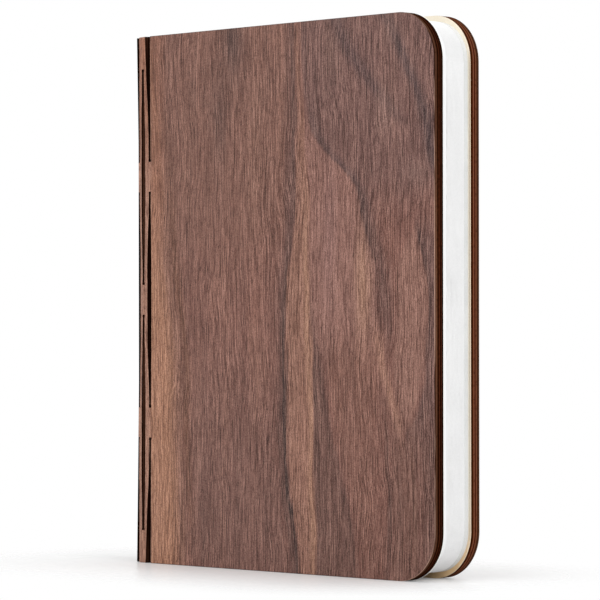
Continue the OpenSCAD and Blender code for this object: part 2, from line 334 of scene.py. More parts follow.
def strip_place(side, i):
    """Sets a point of strip i's section: a along it from its low slit, b inward, z up"""
    hx, hy = HINGES[i - 1]
    cos, sin = math.cos(math.radians(LEANS[i - 1])), math.sin(math.radians(LEANS[i - 1]))

    def place(a, b, z):
        b -= flare(z) * (FLARE[i - 1] + (FLARE[i] - FLARE[i - 1]) * a / PITCH)
        y = hy + a * sin + b * cos
        return (hx + a * cos - b * sin, y if side == FRONT else -y, z)

    return place


def corner(z, inset, start):
    """A fore-edge corner round the height z, from the angle start on through a right angle"""
    angles = [math.radians(start + 90 * k / CORNER_STEPS) for k in range(CORNER_STEPS + 1)]
    r = CORNER_R - inset
    return [(FORE_X - CORNER_R + r * math.cos(a), z + r * math.sin(a)) for a in angles]


def cover_outline(side, inset, b):
    """A cover's outline at the distance b from the board's middle"""

    def spine(z):
        return COVER_X + wall(4, side, z, b) + inset

    z0, z1 = CORNER_R, BOOK_H - CORNER_R
    fore = [(FORE_X - inset, z0 + (z1 - z0) * k / FORE_STEPS) for k in range(1, FORE_STEPS)]
    outline = [(spine(0), inset)] + corner(z0, inset, -90) + fore + corner(z1, inset, 0)
    outline.append((spine(BOOK_H), BOOK_H - inset))
    return outline + [(spine(z), z) for z in reversed(heights([(4, side)], COVER_GAP))]


def within(point, ring):
    """Whether a point is inside a closed line"""
    x, y = point
    a, b = ring, np.roll(ring, -1, 0)
    crossed = (a[:, 1] > y) != (b[:, 1] > y)
    with np.errstate(divide="ignore", invalid="ignore"):
        xs = (b[:, 0] - a[:, 0]) * (y - a[:, 1]) / (b[:, 1] - a[:, 1]) + a[:, 0]
    return bool(np.count_nonzero(crossed & (x < xs)) % 2)


def fill(shape, outline, holes, sheet_of, depth, turn):
    """Fills a flat outline with holes. outline and holes are (points, vertex numbers)."""
    points, numbers, edges, loops = [], [], [], []
    for line, ids in [outline] + holes:
        start = len(points)
        edges += [(start + k, start + j) for k, j in round_pairs(len(line))]
        loops.append(np.array(line))
        points += line
        numbers += ids
    co, _, tris, origin, _, _ = delaunay_2d_cdt([Vector(p) for p in points], edges, [], 0, 1e-9)
    for t in tris:
        centre = sum((co[k] for k in t), Vector((0, 0))) / 3
        if not within(centre, loops[0]) or any(within(centre, hole) for hole in loops[1:]):
            continue
        area = (co[t[1]] - co[t[0]]).cross(co[t[2]] - co[t[0]])
        t = list(t) if (area < 0) == turn else list(t)[::-1]
        sheet = [(sheet_of(co[k][0]), co[k][1]) for k in t]
        shape.face([numbers[origin[k][0]] for k in t], sheet, [(co[k][0], depth) for k in t])


def make_cover(name, side):
    """A cover board with a softened arris, a slit's wall along the spine, and magnet pockets"""
    way = -1 if side == FRONT else 1
    shape = Shape()

    def sheet_of(x):
        return on_sheet(side, x)

    rings = []
    for inset, depth in COVER_LEVELS:
        line = cover_outline(side, inset, depth - HALF_BOARD)
        ids = shape.ring([(x, way * (BOOK_T / 2 - depth), z) for x, z in line])
        rings.append((line, ids, depth))
    run = run_round(rings[BASE_LEVEL][0])
    for (p0, r0, d0), (p1, r1, d1) in zip(rings, rings[1:]):
        for k, j in round_pairs(len(r0)):
            sheet = [(sheet_of(x), z) for x, z in (p0[k], p1[k], p1[j], p0[j])]
            layers = [(run[k], d0), (run[k], d1), (run[k + 1], d1), (run[k + 1], d0)]
            shape.face([r0[k], r1[k], r1[j], r0[j]], sheet, layers)
    fill(shape, rings[0][:2], [], sheet_of, 0.0, False)
    holes = []
    angles = [2 * math.pi * k / POCKET_STEPS for k in range(POCKET_STEPS)]
    d0, d1 = POCKET_LAYERS
    for mid in (MAGNET_END, BOOK_H - MAGNET_END):
        x0, r = FORE_X - MAGNET_EDGE, MAGNET_R
        line = [(x0 + r * math.cos(a), mid + r * math.sin(a)) for a in angles]
        mouth, end = (
            shape.ring([(x, way * (BOOK_T / 2 - BOARD_T + deep), z) for x, z in line])
            for deep in (0, MAGNET_T)
        )
        holes.append((line, mouth))
        for k, j in round_pairs(POCKET_STEPS):
            sheet = [line[j], line[j], line[k], line[k]]
            layers = [(k, d0), (k, d1), (j, d1), (j, d0)]
            shape.face([mouth[j], end[j], end[k], mouth[k]], sheet, layers)
        shape.face(end[::-1], line[::-1], [(x, d0) for x, _ in line][::-1])
    fill(shape, rings[-1][:2], holes, sheet_of, BOARD_T, True)
    return shape.make(name, BOARD, flip=side == FRONT)


def leaf_outline(outer_way, inner_way):
    """A sheet's outline: x, z, the normal's x and z, the fold's way (0 at a cut), and its nose"""
    (x0, x1), (z0, z1) = LEAF_X, LEAF_Z
    xc, low, high = x1 - LEAF_R, z0 + LEAF_R, z1 - LEAF_R

    def rounded(z, start, k):
        a = math.radians(start + 90 * k / ROUND_STEPS)
        nx, nz = math.cos(a), math.sin(a)
        return (xc + LEAF_R * nx, z + LEAF_R * nz, nx, nz, 0, 0)

    out = [(x0 + (xc - x0) * k / EDGE_STEPS, z0, 0, -1, 0, 0) for k in range(EDGE_STEPS + 1)]
    out += [rounded(low, -90, k) for k in range(1, ROUND_STEPS + 1)]
    gap, n, nose = OUTER_FOLD
    span = high - low - 2 * gap
    out += [(x1, low + gap + span * k / n, 1, 0, outer_way, nose) for k in range(n + 1)]
    out += [rounded(high, 0, k) for k in range(ROUND_STEPS)]
    out += [(xc + (x0 - xc) * k / EDGE_STEPS, z1, 0, 1, 0, 0) for k in range(EDGE_STEPS + 1)]
    gap, n, nose = INNER_FOLD
    span = z1 - z0 - 2 * gap
    out += [(x0, z1 - gap - span * k / n, -1, 0, inner_way, nose) for k in range(n + 1)]
    return out


def make_leaf(name, k):
    """A sheet. At a fold its edge comes round to the fold's line, where the next sheet meets it."""
    mid = -CARD_Y + LEAF_T / 2 + LEAF_PITCH * (k - 1)
    low = max(mid - LEAF_HALF, -CARD_Y)
    high = min(mid + LEAF_HALF, CARD_Y)
    outer_way = 1 if k % 2 else -1
    inner_way = 0 if k in (1, LEAF_N) else -outer_way
    outline = leaf_outline(outer_way, inner_way)
    shape = Shape()
    rings = []
    for rim, t in LEAF_RINGS:
        ring = []
        for x, z, nx, nz, way, nose in outline:
            y = low + (high - low) * t
            if not way:
                out = -CUT_BEVEL if rim else -CUT_BEVEL * (1 - math.sin(math.pi * t)) * CUT_ROUND
            elif rim:
                out = -RIM_AT_FOLD if rim == way else -RIM_AWAY
            else:
                q = t if way > 0 else 1 - t
                out = nose * math.sqrt(max(0.0, 1 - (1 - q) ** 2))
                past = (mid + way * LEAF_PITCH / 2) * way - (high if way > 0 else -low)
                y += way * smooth((q - TIP_FROM) / (1 - TIP_FROM)) * max(0.0, past)
            ring.append((x + nx * out, y, z + nz * out))
        rings.append(shape.ring(ring))

    def sheet(ids):
        return [(shape.verts[c][0], shape.verts[c][2]) for c in ids]

    run = run_round(outline)
    for i, (r0, r1) in enumerate(zip(rings, rings[1:])):
        for k, j in round_pairs(len(outline)):
            ids = [r0[k], r0[j], r1[j], r1[k]]
            layers = [(run[k], i), (run[k + 1], i), (run[k + 1], i + 1), (run[k], i + 1)]
            shape.face(ids, sheet(ids), layers)
    for ids in (rings[0][::-1], rings[-1]):
        shape.face(ids, sheet(ids), [(shape.verts[c][0], 0) for c in ids])
    return shape.make(name, [SHEET], flip=True, sharp=LEAF_SHARP)


# ---------------------------------------------------------------- materials
def srgb(r, g, b):
    """The linear colour of a display colour, 0 to 255"""

    def linear(c):
        return c / 12.92 if c <= 0.04045 else ((c + 0.055) / 1.055) ** 2.4

    return (linear(r / 255), linear(g / 255), linear(b / 255), 1.0)


def shades(*stops):
    """Stops of a ramp from places and display colours"""
    return [(at, srgb(*rgb)) for at, *rgb in stops]


class Graph:
    """A material's nodes, written as expressions"""

    def __init__(self, name):
        self.material = bpy.data.materials.new(name)
        self.material.use_nodes = True
        self.tree = self.material.node_tree
        self.shader = self.tree.nodes["Principled BSDF"]

    def feed(self, socket, value):
        """Gives an input a value or another node's output"""
        if isinstance(value, bpy.types.NodeSocket):
            self.tree.links.new(value, socket)
        else:
            socket.default_value = value

    def node(self, kind, ins=(), out=0, **props):
        n = self.tree.nodes.new(kind)
        for key, value in props.items():
            setattr(n, key, value)
        for key, value in dict(ins).items():
            self.feed(n.inputs[key], value)
        return n.outputs[out]

    def calc(self, op, a, b=0.0):
        return self.node("ShaderNodeMath", {0: a, 1: b}, operation=op)

    def add(self, a, b):
        return self.calc("ADD", a, b)

    def sub(self, a, b):
        return self.calc("SUBTRACT", a, b)

    def mul(self, a, *others):
        for b in others:
            a = self.calc("MULTIPLY", a, b)
        return a

    def bell(self, square):
        """1 where a squared distance is 0, and less further off"""
        return self.calc("EXPONENT", self.mul(square, -1.0))

    def step(self, x, low, high):
        """0 to 1 as x goes from low to high, with a soft start and end"""
        ins = {"Value": x, "From Min": low, "From Max": high}
        return self.node("ShaderNodeMapRange", ins, interpolation_type="SMOOTHSTEP")

    def join(self, x, y, z=0.0):
        return self.node("ShaderNodeCombineXYZ", {0: x, 1: y, 2: z})

    def split(self, v):
        n = self.tree.nodes.new("ShaderNodeSeparateXYZ")
        self.tree.links.new(v, n.inputs[0])
        return n.outputs[0], n.outputs[1], n.outputs[2]

    def noise(self, v, scale=1.0, detail=3.0, rough=0.5, warp=0.0):
        ins = {"Vector": v, "Scale": scale, "Detail": detail, "Roughness": rough}
        return self.node("ShaderNodeTexNoise", {**ins, "Distortion": warp})

    def streaks(self, x, y, seed, detail=2, rough=0.5):
        """Noise over two coordinates that are stretched to different lengths"""
        return self.noise(self.join(x, y, seed), 1, detail, rough)

    def mix(self, f, a, b, blend="MIX"):
        n = self.tree.nodes.new("ShaderNodeMix")
        n.data_type, n.blend_type = "RGBA", blend
        for key, value in ((0, f), (6, a), (7, b)):
            self.feed(n.inputs[key], value)
        return n.outputs[2]

    def tints(self, colour, *rows):
        """Lays colours over another in turn: rows of mask, display colour and amount"""
        for mask, rgb, amount in rows:
            colour = self.mix(self.mul(mask, amount), colour, srgb(*rgb))
        return colour

    def ramp(self, f, stops):
        n = self.tree.nodes.new("ShaderNodeValToRGB")
        points = n.color_ramp.elements
        while len(points) < len(stops):
            points.new(0.5)
        for point, (at, colour) in zip(points, stops):
            point.position, point.color = at, colour
        self.tree.links.new(f, n.inputs[0])
        return n.outputs[0]

    def bump(self, height, strength, distance):
        """A bumped normal; the distance is in millimetres."""
        ins = {"Height": height, "Strength": strength, "Distance": distance * MM}
        return self.node("ShaderNodeBump", ins)

    def set(self, **sockets):
        """Feeds the shader's inputs, and gives the material"""
        for key, value in sockets.items():
            self.feed(self.shader.inputs[key.replace("_", " ")], value)
        return self.material

    def in_mm(self, v):
        return self.node("ShaderNodeVectorMath", {0: v, 3: 1 / MM}, operation="SCALE")

    def place(self):
        """The place in the frame at rest, in millimetres"""
        return self.in_mm(self.node("ShaderNodeTexCoord", out="Object"))

    def uv(self, name):
        return self.in_mm(self.node("ShaderNodeUVMap", uv_map=name))


def walnut():
    """Walnut veneer. Its figure follows a few lines across the sheet, u from spine to fore-edge
    and v upwards, in millimetres. The back's figure is the front's, mirrored and turned over."""
    g = Graph("walnut_veneer")
    step, add, mul, sub = g.step, g.add, g.mul, g.sub
    u, v, _ = g.split(g.uv("sheet"))
    ragged = g.streaks(mul(u, 0.9), mul(v, 0.03), 2.0, rough=0.6)
    sway = g.streaks(mul(u, 0.03), mul(v, 0.022), 6.0)
    stagger = mul(g.streaks(mul(u, 0.9), 3.5, 21.0, 1), 4.0)
    across = add(u, mul(sub(sway, 0.5), 9.0))

    def grain(narrow, short, seed, detail=1):
        """Noise drawn out along the grain. Its rows are staggered from fibre to fibre, so that
        they don't show as bands."""
        return g.streaks(mul(across, narrow), add(mul(v, short), stagger), seed, detail)

    streak = grain(2.8, 0.03, 4.0)
    fibre = grain(3.8, 0.09, 1.0)
    pore = grain(3.0, 0.40, 9.0, 0)
    speck = grain(3.2, 1.7, 14.0, 0)
    behind = g.calc("LESS_THAN", u, 2 * SHEET_MID - COVER_X + 0.1)
    u = add(u, mul(behind, sub(2 * SHEET_MID, mul(u, 2.0))))
    v = add(v, mul(behind, sub(BOOK_H, mul(v, 2.0))))
    share = g.calc("DIVIDE", v, BOOK_H)
    wavy = add(u, add(mul(sub(ragged, 0.5), 5.0), mul(sub(sway, 0.5), 7.0)))
    reach = 100.0  # lines lie at a u between -reach and reach

    def line(*points):
        """How far right of a line a place is. The line goes through (v, u) points."""
        n = g.tree.nodes.new("ShaderNodeFloatCurve")
        curve = n.mapping.curves[0]
        while len(curve.points) < len(points):
            curve.points.new(0.5, 0.5)
        for point, (pv, pu) in zip(curve.points, points):
            point.location = (pv / BOOK_H, (pu + reach) / (2 * reach))
        n.mapping.update()
        g.tree.links.new(share, n.inputs["Value"])
        return sub(wavy, sub(mul(n.outputs[0], 2 * reach), reach))

    def lump(u0, v0, half_u, half_v):
        """A soft oval spot"""
        du = g.calc("DIVIDE", sub(wavy, u0), half_u)
        dv = g.calc("DIVIDE", sub(v, v0), half_v)
        return g.bell(add(mul(du, du), mul(dv, dv)))

    def ridge(d, at, width):
        """A soft line at the distance at from another"""
        t = g.calc("DIVIDE", sub(d, at), width)
        return g.bell(mul(t, t))

    hinge = line(
        (0, -49), (40, -50), (80, -52.5), (100, -54.5), (120, -57.5), (150, -61), (180, -64),
        (215, -67),
    )
    dark = line(
        (0, 12.5), (10, 12), (25, 9.8), (40, 7.0), (55, 5.6), (85, 5.6), (100, 6.0), (115, 7.0),
        (130, 9), (145, 11), (160, 12), (190, 12), (215, 11.5),
    )
    strip = line(
        (0, 24), (20, 23), (40, 22.5), (80, 22), (100, 21), (120, 20), (150, 18.5), (170, 17.5),
        (190, 16.5), (215, 14),
    )
    arc = line(
        (0, 75), (50, 72), (57, 71), (65, 68), (80, 62), (90, 59), (100, 57), (115, 55.5),
        (128, 52.5), (138, 49), (147, 46), (153, 42), (158, 36), (163, 29), (168, 24), (175, 20),
        (185, 18), (215, 15),
    )
    tear_left = line(
        (0, 82), (40, 78), (57, 71.5), (70, 67.5), (90, 66), (110, 67), (125, 70), (134, 77),
        (215, 95),
    )
    tear_right = line(
        (0, 62), (40, 66), (57, 72), (65, 77), (80, 81), (100, 83), (118, 82), (128, 79),
        (134, 77), (215, 60),
    )
    brace = line((0, 44), (20, 41), (40, 35), (60, 29), (80, 25), (100, 22), (215, 10))
    high_arc = line(
        (0, 99), (150, 99), (170, 74), (178, 62), (184, 57), (188, 52), (195, 46), (205, 39),
        (215, 33),
    )
    corner_arc = line(
        (0, 99), (140, 90), (160, 84.5), (172, 82), (184, 78), (195, 72), (205, 66), (215, 60),
    )
    right_of_strip = step(strip, -0.5, 1.5)
    light_strip = mul(step(dark, 0.6, 2.6), step(strip, 1.0, -1.4))
    inside_arc = mul(right_of_strip, step(arc, 0.6, -1.2))
    outside_arc = mul(step(arc, -1.0, 1.0), step(strip, 0, 2))
    tear = mul(step(tear_left, -0.8, 1.6), step(tear_right, 0.8, -1.6), step(v, 54, 66))
    lower = step(v, 110, 78)
    crisp = add(0.35, mul(step(v, 135, 75), 0.65))
    off_streak = sub(1.0, lump(62, 20, 7, 60))
    spine = mul(step(u, -70.5, -71.5), step(u, -95, -84))

    # broad bands along the grain
    broad = g.streaks(mul(wavy, 0.085), mul(v, 0.0035), 0.0)
    bands = g.streaks(mul(wavy, 0.36), mul(v, 0.007), 7.0, rough=0.55)
    clouds = g.streaks(mul(wavy, 0.07), mul(v, 0.03), 12.0)
    tone = add(mul(broad, 0.45), add(mul(bands, 0.6), mul(clouds, 0.3)))
    browns = shades(
        (0.42, 106, 71, 63), (0.56, 120, 81, 71), (0.68, 132, 90, 79), (0.8, 144, 101, 88),
        (0.95, 156, 112, 96),
    )
    colour = g.tints(
        g.ramp(tone, browns),
        (mul(step(v, 95, 150), step(dark, 0, -6)), (134, 98, 83), 0.35),
        (mul(step(v, 110, 40), step(dark, 0, -8), step(hinge, 0, 8)), (118, 88, 80), 0.4),
        (lump(-22, 210, 6, 15), (70, 50, 48), 0.8),
        (lump(-31, 178, 5, 18), (98, 72, 66), 0.5),
        (lump(-9, 168, 4, 30), (150, 112, 96), 0.35),
        # the light band along the hinge, with a dark olive line beside it
        (mul(step(hinge, 0.5, -2.5), step(v, 210, 130)), (152, 110, 92), 0.75),
        (mul(step(hinge, -3, -8.5), step(v, 190, 110)), (190, 138, 108), 0.8),
        (mul(step(hinge, -1, -4), step(v, 130, 205)), (150, 105, 80), 0.6),
        (mul(ridge(hinge, 1.6, 2.4), step(v, 200, 120), step(v, -10, 45)), (106, 66, 44), 0.66),
        (mul(ridge(hinge, -7.5, 1.4), step(v, 190, 150)), (118, 80, 60), 0.3),
        # the dark boundary in the middle, and the light strip right of it
        (mul(step(dark, -6.5, -0.6), step(dark, 1.4, 0.2)), (102, 73, 67), 0.55),
        (mul(ridge(dark, 0.0, 1.15), crisp), (40, 26, 26), 0.9),
        (mul(ridge(dark, -2.6, 0.7), step(v, 75, 45)), (66, 46, 42), 0.5),
        (mul(ridge(dark, -1.0, 3.0), step(v, 90, 125), step(v, 215, 150)), (98, 69, 64), 0.46),
        (light_strip, (162, 119, 100), 0.68),
        (mul(ridge(strip, -2.0, 1.6), step(v, 165, 110), light_strip), (184, 140, 114), 0.6),
        (mul(ridge(strip, 0.8, 1.0), step(v, 135, 100)), (80, 54, 48), 0.6),
        # the flame: a lighter field inside the arc, dark outside
        (mul(inside_arc, step(v, 78, 105)), (153, 112, 101), 0.82),
        (mul(lump(31, 132, 4, 32), inside_arc), (152, 114, 108), 0.5),
        (mul(lump(49.5, 113, 3.6, 20), step(arc, 1, -1)), (180, 138, 114), 0.78),
        (mul(ridge(arc, -1.6, 2.0), step(v, 100, 88), step(v, 50, 62)), (178, 133, 112), 0.72),
        (mul(ridge(arc, 2.4, 2.6), step(v, 124, 146), step(v, 190, 174)), (80, 58, 58), 0.62),
        (mul(ridge(arc, 1.0, 1.2), step(v, 112, 134), step(v, 182, 172)), (58, 40, 40), 0.7),
        (mul(ridge(arc, 3.6, 3.6), step(v, 84, 104), step(v, 150, 132)), (94, 69, 65), 0.62),
        (mul(outside_arc, step(v, 130, 158)), (108, 81, 78), 0.6),
        (mul(lump(33, 204, 5, 12), step(v, 118, 150)), (134, 102, 92), 0.5),
        (mul(ridge(high_arc, 2.0, 4.0), step(v, 168, 182)), (78, 58, 60), 0.72),
        (mul(ridge(corner_arc, 0.5, 3.2), step(v, 145, 162)), (66, 52, 56), 0.75),
        (lump(60, 178, 5, 9), (144, 112, 103), 0.65),
        (lump(63, 209, 4, 6), (138, 106, 97), 0.5),
        (lump(76, 154, 6, 5), (138, 108, 100), 0.55),
        # the tear-shaped field near the fore-edge, and the dark rim right of it
        (tear, (152, 112, 99), 0.78),
        (mul(step(tear_right, 0.4, 3.0), step(v, 142, 126), step(v, 40, 70)), (92, 71, 70), 0.6),
        (mul(ridge(tear_right, 1.0, 1.1), step(v, 140, 130), step(v, 74, 92)), (60, 44, 45), 0.7),
        # the lower right: a grey wedge, reddish streaks, and a dark edge
        (mul(right_of_strip, step(brace, 1.5, -1.5), lower), (108, 79, 71), 0.65),
        (mul(ridge(brace, 1.0, 1.7), lower), (72, 48, 44), 0.62),
        (mul(step(brace, 3, 7), inside_arc, step(v, 100, 80), off_streak), (133, 94, 80), 0.4),
        (lump(61.5, 18, 1.3, 45), (72, 48, 44), 0.7),
        (lump(67, 22, 3, 34), (124, 94, 85), 0.4),
        (lump(75.5, 26, 1.4, 30), (150, 112, 96), 0.6),
        (mul(step(u, 77, 84), step(v, 70, 45)), (92, 65, 60), 0.62),
        (mul(step(u, 62.5, 65), step(v, 72, 50)), (92, 62, 54), 0.35),
        # the strips of the spine are a little lighter
        (spine, (168, 128, 112), 0.55),
        (mul(spine, step(v, 140, 190)), (174, 112, 78), 0.45),
        (mul(step(u, -60, -67), step(u, -71, -70), step(v, 110, 150)), (164, 108, 82), 0.4),
    )

    # fine fibres and pores
    pores = step(pore, 0.56, 0.68)
    mixed = add(mul(streak, 0.5), mul(fibre, 0.5))
    for mask, rgb, blend in (
        (step(mixed, 0.52, 0.38), (0.34, 0.26, 0.24), "MULTIPLY"),
        (step(mixed, 0.49, 0.63), (0.185, 0.113, 0.09), "ADD"),
        (mul(pores, 0.6), (0.30, 0.21, 0.18), "MULTIPLY"),
        (mul(step(speck, 0.5, 0.32), 0.42), (0.30, 0.25, 0.23), "MULTIPLY"),
        (mul(step(speck, 0.5, 0.68), 0.32), (0.14, 0.105, 0.09), "ADD"),
    ):
        colour = g.mix(mask, colour, (*rgb, 1), blend)
    return g.set(
        Base_Color=colour,
        Roughness=add(0.48, mul(fibre, 0.16)),
        Normal=g.bump(sub(mixed, mul(pores, 0.7)), 0.4, 0.08),
        Specular_IOR_Level=0.2,
    )


# The plywood's colours at a burnt edge, from its outer to its inner face
FRONT_LAYERS = (
    (0.00, 58, 36, 26), (0.10, 56, 32, 22), (0.14, 108, 72, 56), (0.25, 96, 62, 44),
    (0.33, 60, 30, 16), (0.38, 14, 4, 1), (0.46, 14, 4, 1), (0.50, 86, 42, 25),
    (0.57, 80, 38, 21), (0.62, 12, 3, 1), (0.70, 12, 3, 1), (0.74, 64, 30, 18),
    (0.80, 58, 27, 15), (0.86, 10, 4, 2), (1.0, 8, 3, 1),
)
BACK_LAYERS = (
    (0.0, 112, 90, 76), (0.06, 98, 74, 60), (0.12, 56, 32, 20), (0.22, 58, 32, 18),
    (0.29, 68, 38, 24), (0.35, 112, 70, 50), (0.42, 106, 62, 42), (0.48, 56, 17, 4),
    (0.56, 54, 16, 4), (0.62, 120, 74, 55), (0.70, 110, 64, 44), (0.76, 54, 20, 3),
    (0.88, 48, 18, 3), (0.94, 66, 36, 18), (1.0, 60, 32, 14),
)


def burnt_edge():
    """The plywood's layers, burnt by the laser, with painted shade in the slits and a painted
    highlight on the fore-edge's arris. The back board is burnt less.
    """
    g = Graph("burnt_edge")
    step, add, mul, sub = g.step, g.add, g.mul, g.sub
    along, depth, _ = g.split(g.uv("layers"))
    u, v, _ = g.split(g.uv("sheet"))
    soot = g.streaks(mul(along, 0.8), mul(depth, 0.9), 2.0, 3, 0.6)
    comb = g.streaks(mul(along, 0.25), mul(depth, 6.0), 5.0, rough=0.6)
    # noise that breaks the arris's pale line and painted highlight into pieces
    chips = g.streaks(mul(along, 0.03), 3.0, 8.0)
    waves = g.streaks(mul(along, 0.03), 0.0, 5.0)
    layer = g.calc("DIVIDE", add(depth, mul(sub(waves, 0.5), 0.3)), BOARD_T)
    back = step(u, -130, -140)
    front_colour, back_colour = (g.ramp(layer, shades(*s)) for s in (FRONT_LAYERS, BACK_LAYERS))
    second_slit = mul(step(u, -78.4, -77.6), step(u, -74.4, -75.2))
    # the second slit's dark outer ply, and its deeper layers painted dark as shade
    dark_ply_and_shade = add(step(layer, 0.10, 0.07), step(layer, 0.22, 0.28))
    middle_height = mul(step(v, 86, 96), step(v, 142, 132))
    # where the arris is pale: partly the veneer's colour, partly a painted highlight
    pale_arris_and_highlight = g.calc("MAXIMUM", step(chips, 0.44, 0.56), middle_height)
    colour = g.tints(
        g.mix(back, front_colour, back_colour),
        (step(soot, 0.52, 0.78), (112, 62, 38), 0.25),
        (step(soot, 0.48, 0.28), (16, 6, 3), 0.55),
        (step(comb, 0.52, 0.72), (104, 56, 32), 0.15),
        # darker above and below the middle of the height
        (add(step(v, 120, 190), step(v, 95, 50)), (22, 7, 3), sub(0.42, mul(back, 0.42))),
        # darker in the slit beside the cover, in the next one, and at the outline: painted shade in
        # the slits over the laser's char
        (mul(step(u, -74.4, -73.2), step(u, -70.0, -70.8)), (18, 5, 2), 0.9),
        (mul(second_slit, dark_ply_and_shade), (26, 8, 3), 0.85),
        (mul(step(u, -83.0, -81.5), step(u, -77.6, -78.6)), (20, 7, 4), 0.85),
        # the arris of the fore-edge, pale in the veneer's colour, with a painted highlight along it
        (mul(step(layer, 0.07, 0.045), step(u, 60, 70)), (172, 138, 120), pale_arris_and_highlight),
    )
    return g.set(
        Base_Color=colour,
        Roughness=add(0.6, mul(soot, 0.2)),
        Normal=g.bump(add(soot, comb), 0.4, 0.12),
        Specular_IOR_Level=0.0,
    )


CARD_RATE = 5.2  # radians a millimetre, for a card's layers


def paper(name, base, dark, scale=1.0, rough=0.75, thin=0.0, front=None):
    """Paper with fibres and faint clouds, or card, which shows its layers; a card's grey is partly
    painted shade, and front is a lighter, lit copy for the front card
    """
    g = Graph(name)
    p = g.place()
    fibres = g.noise(p, 2.2 * scale, 4, 0.65, 0.8)
    clouds = g.noise(p, 0.09 * scale, 2)
    colour = g.ramp(g.add(g.mul(fibres, 0.55), g.mul(clouds, 0.45)), [(0.3, dark), (0.62, base)])
    if front:
        _, y, _ = g.split(p)
        layers = g.calc("ABSOLUTE", g.calc("SINE", g.mul(y, CARD_RATE)))
        colour = g.mix(g.mul(g.step(layers, 0.25, 0.0), 0.35), colour, dark)
        # painted light and shade: the front card lighter, the back card greyer
        colour = g.mix(g.step(y, 1, -1), colour, front)
    normal = g.bump(fibres, 0.25, 0.05)
    g.set(Base_Color=colour, Roughness=rough, Normal=normal, Specular_IOR_Level=0.2)
    if thin:
        g.set(Subsurface_Weight=thin, Subsurface_Radius=(1.0, 1.0, 1.0), Subsurface_Scale=0.6 * MM)
    return g.material


def lining():
    """Cream paper with painted shade at the foot, and a painted gap shadow beside its cut edge"""
    g = Graph("lining_paper")
    p = g.place()
    x, y, z = g.split(p)
    fibres = g.noise(p, 2.2, 4, 0.65, 0.8)
    colour = g.ramp(fibres, shades((0.3, 240, 228, 206), (0.62, 249, 241, 224)))
    # painted shade: darker and browner towards the foot
    colour = g.mix(g.step(z, 30, 2), colour, srgb(232, 198, 152))
    face = BOOK_T / 2 - BOARD_T - LINING_T  # the inner face's distance from the middle
    cut = g.step(g.calc("ABSOLUTE", y), face + 0.02, face + 0.06)
    # painted shadow: a dark line of the gap where the card meets the lining, beside its cut edge
    gap_shadow = g.step(x, FORE_X - 0.55, FORE_X - 0.35)
    colour = g.mix(g.mul(gap_shadow, 0.7), colour, srgb(170, 156, 136))
    rim = g.mix(g.step(y, -1, 1), srgb(246, 244, 240), srgb(232, 211, 186))
    return g.set(
        Base_Color=g.mix(cut, colour, rim),
        Roughness=0.75,
        Normal=g.bump(fibres, 0.25, 0.05),
        Specular_IOR_Level=0.2,
    )


def plastic(name, base, dark, rough=0.4, grain=3.0, thin=0.0):
    """Moulded plastic with a fine spark-eroded grain"""
    g = Graph(name)
    p = g.place()
    fine = g.noise(p, grain, 3, 0.6)
    cloud = g.noise(p, 0.05, 2)
    g.set(
        Base_Color=g.ramp(g.add(g.mul(fine, 0.3), g.mul(cloud, 0.7)), [(0.3, dark), (0.65, base)]),
        Roughness=g.add(rough, g.mul(fine, 0.12)),
        Normal=g.bump(fine, 0.15, 0.04),
        Specular_IOR_Level=0.5,
    )
    if thin:
        g.set(Subsurface_Weight=thin, Subsurface_Radius=(1.0, 0.95, 0.85), Subsurface_Scale=2 * MM)
    return g.material


def metal(name, base, dark, rough, squeeze=(0.2, 0.2, 4.0), bump=0.1):
    """Plated or brushed metal with fine scratches, or creased foil"""
    g = Graph(name)
    stretched = g.join(*(g.mul(p, s) for p, s in zip(g.split(g.place()), squeeze)))
    scratch = g.noise(stretched, 1.0, 4, 0.6)
    return g.set(
        Base_Color=g.ramp(scratch, [(0.35, dark), (0.65, base)]),
        Metallic=1.0,
        Roughness=g.add(rough, g.mul(scratch, 0.2)),
        Normal=g.bump(scratch, 0.3, bump),
    )


def circuit(name, base, trace, pad, cell=1.6):
    """A circuit board: solder mask over copper traces, with tinned pads"""
    g = Graph(name)
    p = g.place()
    _, y, z = g.split(p)
    cells = g.join(g.calc("DIVIDE", y, cell), g.calc("DIVIDE", z, cell * 2.2))
    colours = {"Color1": base, "Color2": base, "Mortar": trace}
    traces = {"Vector": cells, "Scale": 1.0, "Mortar Size": 0.09, **colours}
    fine = g.noise(p, 5.0, 3)
    colour = g.mix(g.mul(fine, 0.2), g.node("ShaderNodeTexBrick", traces), trace)
    pads = {"Vector": g.join(g.mul(y, 0.7), g.mul(z, 0.35)), "Scale": 1.0, "Randomness": 0.4}
    dot = g.step(g.node("ShaderNodeTexVoronoi", pads), 0.17, 0.13)
    return g.set(
        Base_Color=g.mix(dot, colour, pad),
        Roughness=g.sub(0.42, g.mul(dot, 0.15)),
        Normal=g.bump(g.add(dot, g.mul(fine, 0.2)), 0.3, 0.05),
    )


def light_chip(n=14, size=3.5):
    """The light chips' white frames round their yellow phosphor"""
    g = Graph("light_chip")
    p = g.place()
    _, y, z = g.split(p)
    low, high = (end.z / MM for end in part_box("led_chips"))
    at = g.calc("MODULO", g.sub(z, low), (high - low - size) / (n - 1))
    dz = g.calc("ABSOLUTE", g.sub(at, size / 2))
    dy = g.calc("ABSOLUTE", y)
    inside = g.mul(g.step(dz, 1.35, 1.2), g.step(dy, 1.05, 0.9))
    fine = g.noise(p, 6.0, 3)
    yellow = g.ramp(fine, shades((0.3, 232, 190, 70), (0.7, 248, 214, 104)))
    white = g.ramp(fine, shades((0.3, 222, 222, 216), (0.7, 240, 240, 234)))
    return g.set(
        Base_Color=g.mix(inside, white, yellow),
        Roughness=g.add(0.3, g.mul(fine, 0.2)),
        Normal=g.bump(g.add(fine, inside), 0.2, 0.1),
    )


